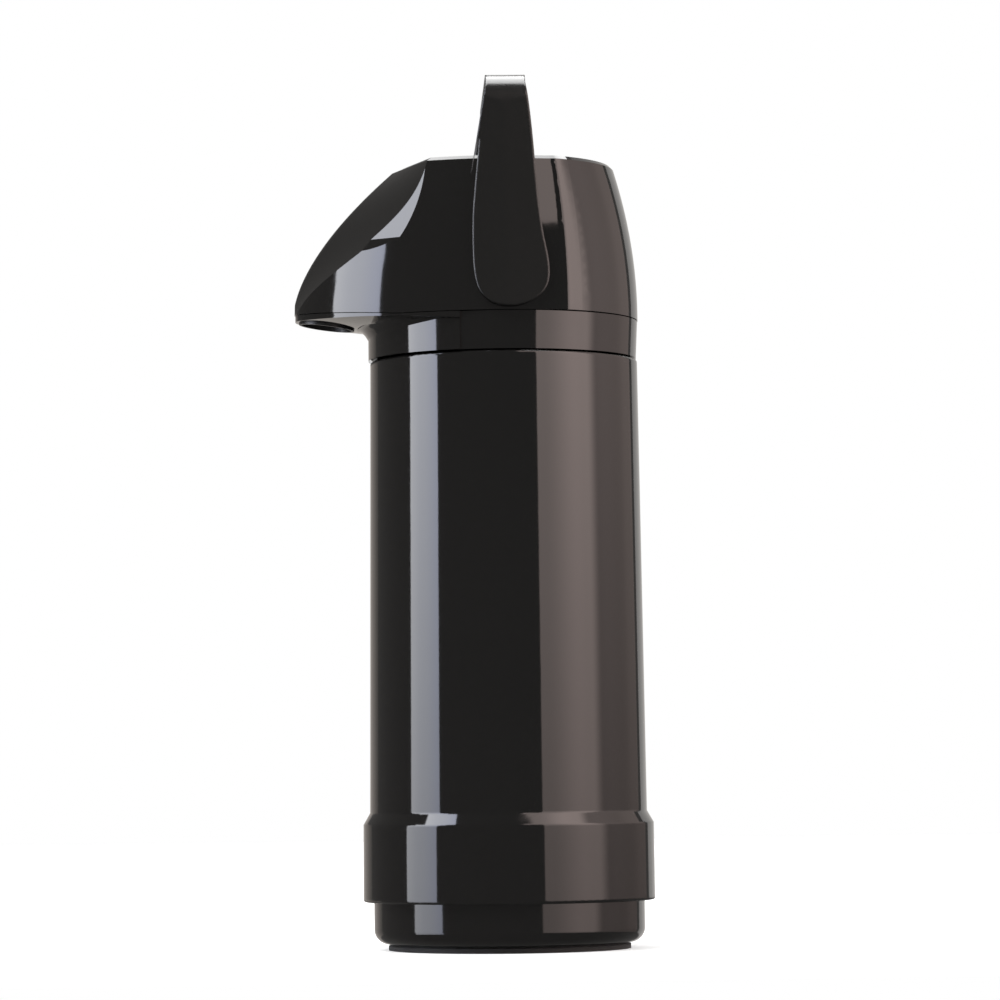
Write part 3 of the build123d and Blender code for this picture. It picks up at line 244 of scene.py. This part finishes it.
# %% Curtain and screens
def glow(name, stops, low, high, foot, head):
    """Light that changes round the axis by stops in degrees from +X to +Y, and with height.

    Its strength goes from foot at the height low to head at the height high.
    """
    material, tree, shader, place = new_material(name)
    turn = tree.nodes.new("ShaderNodeTexGradient")
    turn.gradient_type = "RADIAL"
    tree.links.new(place, turn.inputs["Vector"])
    around = tree.nodes.new("ShaderNodeValToRGB")
    around.color_ramp.interpolation = "EASE"
    while len(around.color_ramp.elements) < len(stops):
        around.color_ramp.elements.new(0.5)
    for element, (azimuth, colour) in zip(around.color_ramp.elements, stops):
        element.position = 0.5 + azimuth / 360
        element.color = (*colour, 1)
    tree.links.new(turn.outputs["Fac"], around.inputs["Fac"])
    split = tree.nodes.new("ShaderNodeSeparateXYZ")
    tree.links.new(place, split.inputs["Vector"])
    rise = tree.nodes.new("ShaderNodeMapRange")
    rise.inputs["From Min"].default_value = low
    rise.inputs["From Max"].default_value = high
    rise.inputs["To Min"].default_value = foot
    rise.inputs["To Max"].default_value = head
    tree.links.new(split.outputs["Z"], rise.inputs["Value"])
    shader.inputs["Base Color"].default_value = (0, 0, 0, 1)
    shader.inputs["Specular IOR Level"].default_value = 0
    tree.links.new(around.outputs["Color"], shader.inputs["Emission Color"])
    tree.links.new(rise.outputs["Result"], shader.inputs["Emission Strength"])
    return material


def only_in_gloss(sheet, material):
    """Gives a sheet its light and hides it from everything but the gloss."""
    sheet.visible_camera = sheet.visible_diffuse = sheet.visible_shadow = False
    sheet.visible_transmission = False
    sheet.data.materials.append(material)


steps = 24


def curved_screen(name, radius, start, end, low, high, material):
    """Part of a drum round the flask, from one azimuth to another, seen only in the gloss."""
    mesh = bpy.data.meshes.new(name)
    points = []
    for step in range(steps + 1):
        angle = math.radians(start + (end - start) * step / steps)
        for height in (low, high):
            points.append((radius * math.cos(angle), radius * math.sin(angle), height))
    faces = [(2 * i, 2 * i + 2, 2 * i + 3, 2 * i + 1) for i in range(steps)]
    mesh.from_pydata(points, [], faces)
    made = bpy.data.objects.new(name, mesh)
    bpy.context.scene.collection.objects.link(made)
    only_in_gloss(made, material)


def level_sheet(name, x_low, x_high, y_side, height, material):
    """A level sheet, seen only in the gloss."""
    sheet = quad_sheet(name, [(x_low, -y_side, height), (x_high, -y_side, height),
                              (x_high, y_side, height), (x_low, y_side, height)])
    only_in_gloss(sheet, material)


curtain_left, curtain_right, panel_end = -140, 142, 178
curtain_foot, curtain_top, flap_foot = -2.5, 4.0, 0.6
strip_radius, screen_radius = 1.3, 1.5
screen_foot, screen_step, screen_top = -0.3, 1.02, 2.4
glow_low, glow_high = -0.1, 0.45
sheet_end, dark_level, top_light_level = -1.5, -0.4, 2.6
dark = (0.15, 0.145, 0.14)
curtain_glow = glow("curtain", [(-180, dark), (180, dark)], 0, 1, 1, 1)
curved_screen("curtain", studio_side, curtain_left, curtain_right, curtain_foot, curtain_top,
              curtain_glow)
curved_screen("flap", studio_side, -panel_end, curtain_left, flap_foot, curtain_top,
              curtain_glow)
rim_glow = glow("rim", [(-178, (0.6, 0.56, 0.52)), (-152, (0.44, 0.4, 0.37)),
                        (-140, (0.28, 0.26, 0.24)), (0, (0.5, 0.5, 0.5)),
                        (142, (0.7, 0.68, 0.66)), (178, (0.66, 0.63, 0.6))], 0, 1, 1, 1)
curved_screen("rim_left", studio_side, -panel_end, curtain_left, curtain_foot, flap_foot,
              rim_glow)
curved_screen("rim_right", studio_side, curtain_right, panel_end, curtain_foot, curtain_top,
              rim_glow)
level_sheet("ceiling", sheet_end, studio_side, studio_side, curtain_top, curtain_glow)
level_sheet("darkness", sheet_end, studio_side, studio_side, dark_level, curtain_glow)
top_glow = glow("top_light", [(-180, (1, 1, 1)), (180, (1, 1, 1))], 0, 1, 8, 8)
level_sheet("top_light", -2.2, 0.2, 1.2, top_light_level, top_glow)
strip_glow = glow("strip", [(-92, (7.4, 7.5, 7.9)), (-74, (6.4, 6.6, 7.3)),
                            (-57, (5.6, 5.9, 7.2))], glow_low, glow_high, 0.45, 1.0)
curved_screen("strip", strip_radius, -87.5, -59, screen_foot, screen_top, strip_glow)
screen_glow = glow("screen", [(31, (2.1, 1.75, 1.65)), (60, (3.2, 2.6, 2.45)),
                              (72, (3.0, 2.45, 2.3)), (84, (1.15, 0.94, 0.89)),
                              (118, (0.72, 0.59, 0.55)), (135, (0.52, 0.43, 0.4))],
                   glow_low, glow_high, 0.5, 1.2)
curved_screen("screen_low", screen_radius, 26, 135, screen_foot, screen_step, screen_glow)
curved_screen("screen_high", screen_radius, 12, 135, screen_step, screen_top, screen_glow)
print("curtain and screens hung")

# %% Key lamp
key = bpy.data.lights.new("key", "AREA")
key.shape = "RECTANGLE"
key.size, key.size_y = 1.6, 1.6
key.energy = 22
lamp = bpy.data.objects.new("key", key)
lamp.location = (1.1, -0.9, 1.9)
lamp.rotation_euler = (Vector((0, 0, 0.2)) - lamp.location).to_track_quat("-Z", "Y").to_euler()
lamp.visible_glossy = False
bpy.context.scene.collection.objects.link(lamp)
print("key lamp at", round(lamp.location.length, 2), "m")

# %% [markdown]
# ## Camera
#
# The camera looks along -X from two metres away, a little above the table, and is rolled by
# about half a degree as in the photograph. Its lens shows 0.45 mm per pixel at the flask.

# %% Camera
camera_data = bpy.data.cameras.new("camera")
camera = bpy.data.objects.new("camera", camera_data)
bpy.context.scene.collection.objects.link(camera)
bpy.context.scene.camera = camera
camera_distance, camera_height, camera_azimuth, camera_roll = 1.97, 0.080, 1.5, -0.63
picture_width, pixel_size, sensor_width = 1000, 0.00045, 36
target = Vector((0, -0.0023, 0.2011))
angle = math.radians(camera_azimuth)
camera.location = (camera_distance * math.cos(angle), -camera_distance * math.sin(angle),
                   camera_height)
aim = (target - camera.location).to_track_quat("-Z", "Y").to_matrix().to_4x4()
roll = Matrix.Rotation(math.radians(camera_roll), 4, "Z")
camera.matrix_world = Matrix.Translation(camera.location) @ aim @ roll
camera_data.sensor_width = sensor_width
reach = (target - camera.location).length
camera_data.lens = sensor_width * reach / (picture_width * pixel_size)
camera_data.clip_start, camera_data.clip_end = 0.05, 50
print("lens", round(camera_data.lens, 1), "mm")

# %% [markdown]
# ## Finish
# The view transform is set to Standard, and the view layer is updated.
# The two boxes go to a file, so that the builder can see that the looks stay inside the CAD.

# %% View transform
bpy.context.scene.view_settings.view_transform = "Standard"
bpy.context.view_layer.update()
